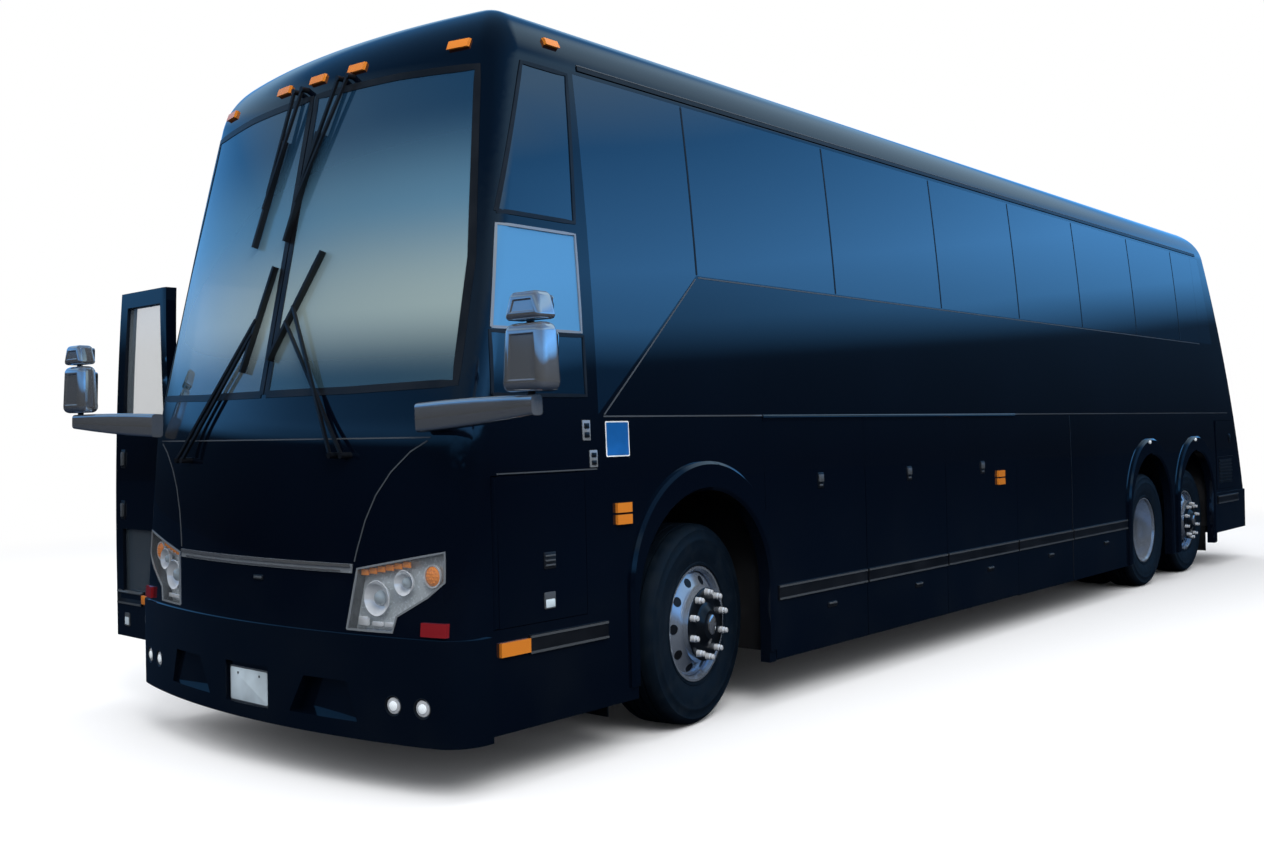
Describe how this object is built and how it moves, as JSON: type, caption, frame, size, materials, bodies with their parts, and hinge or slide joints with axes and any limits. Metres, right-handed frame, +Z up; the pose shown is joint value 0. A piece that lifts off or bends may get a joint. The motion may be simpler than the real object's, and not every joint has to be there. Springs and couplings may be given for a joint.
{
  "type": "coach bus",
  "caption": "Gloss black three-axle highway coach with dark flush glazing, open entrance door, baggage doors, steered front wheels and rolling wheels.",
  "frame": {"origin": "on the floor under the middle of the whole coach, on its centreline", "axes": "+Y from the front to the rear, +X to the driver's side, which is the coach's left, +Z up; the front faces -Y"},
  "size_m": [3.9064, 11.916, 3.5998],
  "materials": {
    "black_paint": "gloss",
    "dark_glass": "polished",
    "clear_glass": "polished",
    "chrome": "polished",
    "polished_aluminium": "polished",
    "tyre": "matte",
    "rubber": "matte",
    "frame_steel": "satin",
    "lamp_clear": "polished",
    "lamp_amber": "gloss",
    "lamp_red": "gloss",
    "trim_plastic": "matte",
    "bumper_black": "gloss",
    "seat_fabric": "woven",
    "floor_vinyl": "matte",
    "engine_iron": "rough"
  },
  "bodies": {
    "coach": {"underframe": "frame_steel", "passenger_deck": "floor_vinyl", "cockpit_floor": "floor_vinyl", "body_side_left": "black_paint", "body_side_right": "black_paint", "roof": "black_paint", "front_cap": "black_paint", "rear_cap": "black_paint", "windshields": "clear_glass", "side_glass": "dark_glass", "cab_glass": "dark_glass", "front_bumper": "bumper_black", "rear_bumper": "bumper_black", "headlamps": "lamp_clear", "fog_lamps": "lamp_clear", "marker_lamps": "lamp_amber", "tail_lamps": "lamp_red", "mirrors": "chrome", "wipers": "trim_plastic", "dashboard": "trim_plastic", "steering_wheel": "trim_plastic", "driver_seat": "seat_fabric", "passenger_seats": "seat_fabric", "engine": "engine_iron", "front_axle": "frame_steel", "rear_axles": "frame_steel", "mudflaps": "rubber"},
    "entrance_leaf": {"entrance_door": "black_paint", "entrance_door_glass": "dark_glass"},
    "service_leaf": {"service_door": "black_paint"},
    "radiator_leaf": {"radiator_door_left": "black_paint"},
    "engine_side_leaf": {"engine_side_door_right": "black_paint"},
    "engine_leaf": {"engine_door": "black_paint"},
    "steering_left": {"knuckle_left": "frame_steel"},
    "front_wheel_left": {"wheel_front_left": "polished_aluminium", "tyre_front_left": "tyre"},
    "drive_wheel_left": {"wheel_drive_left": "polished_aluminium", "tyre_drive_left": "tyre"},
    "tag_wheel_left": {"wheel_tag_left": "polished_aluminium", "tyre_tag_left": "tyre"},
    "baggage_left_1": {"baggage_door_left_1": "black_paint"},
    "baggage_left_2": {"baggage_door_left_2": "black_paint"},
    "baggage_left_3": {"baggage_door_left_3": "black_paint"},
    "steering_right": {"knuckle_right": "frame_steel"},
    "front_wheel_right": {"wheel_front_right": "polished_aluminium", "tyre_front_right": "tyre"},
    "drive_wheel_right": {"wheel_drive_right": "polished_aluminium", "tyre_drive_right": "tyre"},
    "tag_wheel_right": {"wheel_tag_right": "polished_aluminium", "tyre_tag_right": "tyre"},
    "baggage_right_1": {"baggage_door_right_1": "black_paint"},
    "baggage_right_2": {"baggage_door_right_2": "black_paint"},
    "baggage_right_3": {"baggage_door_right_3": "black_paint"}
  },
  "joints": [
    {"name": "steer_left", "type": "hinge", "parent": "coach", "child": "steering_left", "pos_m": [0.93, -4.1, 0.522], "axis": [0, 0, 1], "range_deg": [-51.5, 32.5]},
    {"name": "roll_front_left", "type": "hinge", "parent": "steering_left", "child": "front_wheel_left", "pos_m": [1.06315, -4.07772, 0.522], "axis": [0.9863, 0.165, 0], "continuous": true},
    {"name": "roll_drive_left", "type": "hinge", "parent": "coach", "child": "drive_wheel_left", "pos_m": [1.095, 2.71, 0.522], "axis": [1, 0, 0], "continuous": true},
    {"name": "roll_tag_left", "type": "hinge", "parent": "coach", "child": "tag_wheel_left", "pos_m": [1.05, 4.07, 0.522], "axis": [1, 0, 0], "continuous": true},
    {"name": "baggage_hinge_left_1", "type": "hinge", "parent": "coach", "child": "baggage_left_1", "pos_m": [1.28207, -3.02, 1.594], "axis": [0, -1, 0], "range_deg": [0, 90]},
    {"name": "baggage_hinge_left_2", "type": "hinge", "parent": "coach", "child": "baggage_left_2", "pos_m": [1.28207, -1.945, 1.594], "axis": [0, -1, 0], "range_deg": [0, 90]},
    {"name": "baggage_hinge_left_3", "type": "hinge", "parent": "coach", "child": "baggage_left_3", "pos_m": [1.28207, -0.835, 1.594], "axis": [0, -1, 0], "range_deg": [0, 90]},
    {"name": "steer_right", "type": "hinge", "parent": "coach", "child": "steering_right", "pos_m": [-0.93, -4.1, 0.522], "axis": [0, 0, 1], "range_deg": [-51.5, 32.5]},
    {"name": "roll_front_right", "type": "hinge", "parent": "steering_right", "child": "front_wheel_right", "pos_m": [-1.06315, -4.12228, 0.522], "axis": [0.9863, 0.165, 0], "continuous": true},
    {"name": "roll_drive_right", "type": "hinge", "parent": "coach", "child": "drive_wheel_right", "pos_m": [-1.095, 2.71, 0.522], "axis": [1, 0, 0], "continuous": true},
    {"name": "roll_tag_right", "type": "hinge", "parent": "coach", "child": "tag_wheel_right", "pos_m": [-1.05, 4.07, 0.522], "axis": [1, 0, 0], "continuous": true},
    {"name": "baggage_hinge_right_1", "type": "hinge", "parent": "coach", "child": "baggage_right_1", "pos_m": [-1.28207, -3.02, 1.594], "axis": [0, 1, 0], "range_deg": [0, 90]},
    {"name": "baggage_hinge_right_2", "type": "hinge", "parent": "coach", "child": "baggage_right_2", "pos_m": [-1.28207, -1.945, 1.594], "axis": [0, 1, 0], "range_deg": [0, 90]},
    {"name": "baggage_hinge_right_3", "type": "hinge", "parent": "coach", "child": "baggage_right_3", "pos_m": [-1.28207, -0.835, 1.594], "axis": [0, 1, 0], "range_deg": [0, 90]},
    {"name": "entrance_hinge", "type": "hinge", "parent": "coach", "child": "entrance_leaf", "pos_m": [-1.299, -5.603, 0.38], "axis": [0, 0, 1], "range_deg": [-88, 0]},
    {"name": "service_hinge", "type": "hinge", "parent": "coach", "child": "service_leaf", "pos_m": [1.28966, -5.581, 1], "axis": [0, 0, -1], "range_deg": [0, 90]},
    {"name": "radiator_hinge", "type": "hinge", "parent": "coach", "child": "radiator_leaf", "pos_m": [1.28486, 4.779, 1.1], "axis": [0, 0, -1], "range_deg": [0, 90]},
    {"name": "engine_side_hinge", "type": "hinge", "parent": "coach", "child": "engine_side_leaf", "pos_m": [-1.28486, 4.779, 1.1], "axis": [0, 0, 1], "range_deg": [0, 90]},
    {"name": "engine_hinge", "type": "hinge", "parent": "coach", "child": "engine_leaf", "pos_m": [0, 5.52749, 1.921], "axis": [1, 0, 0], "range_deg": [0, 75]}
  ],
  "couplings": [
    {"joint": "steer_right", "follows": "steer_left", "ratio": 1}
  ]
}
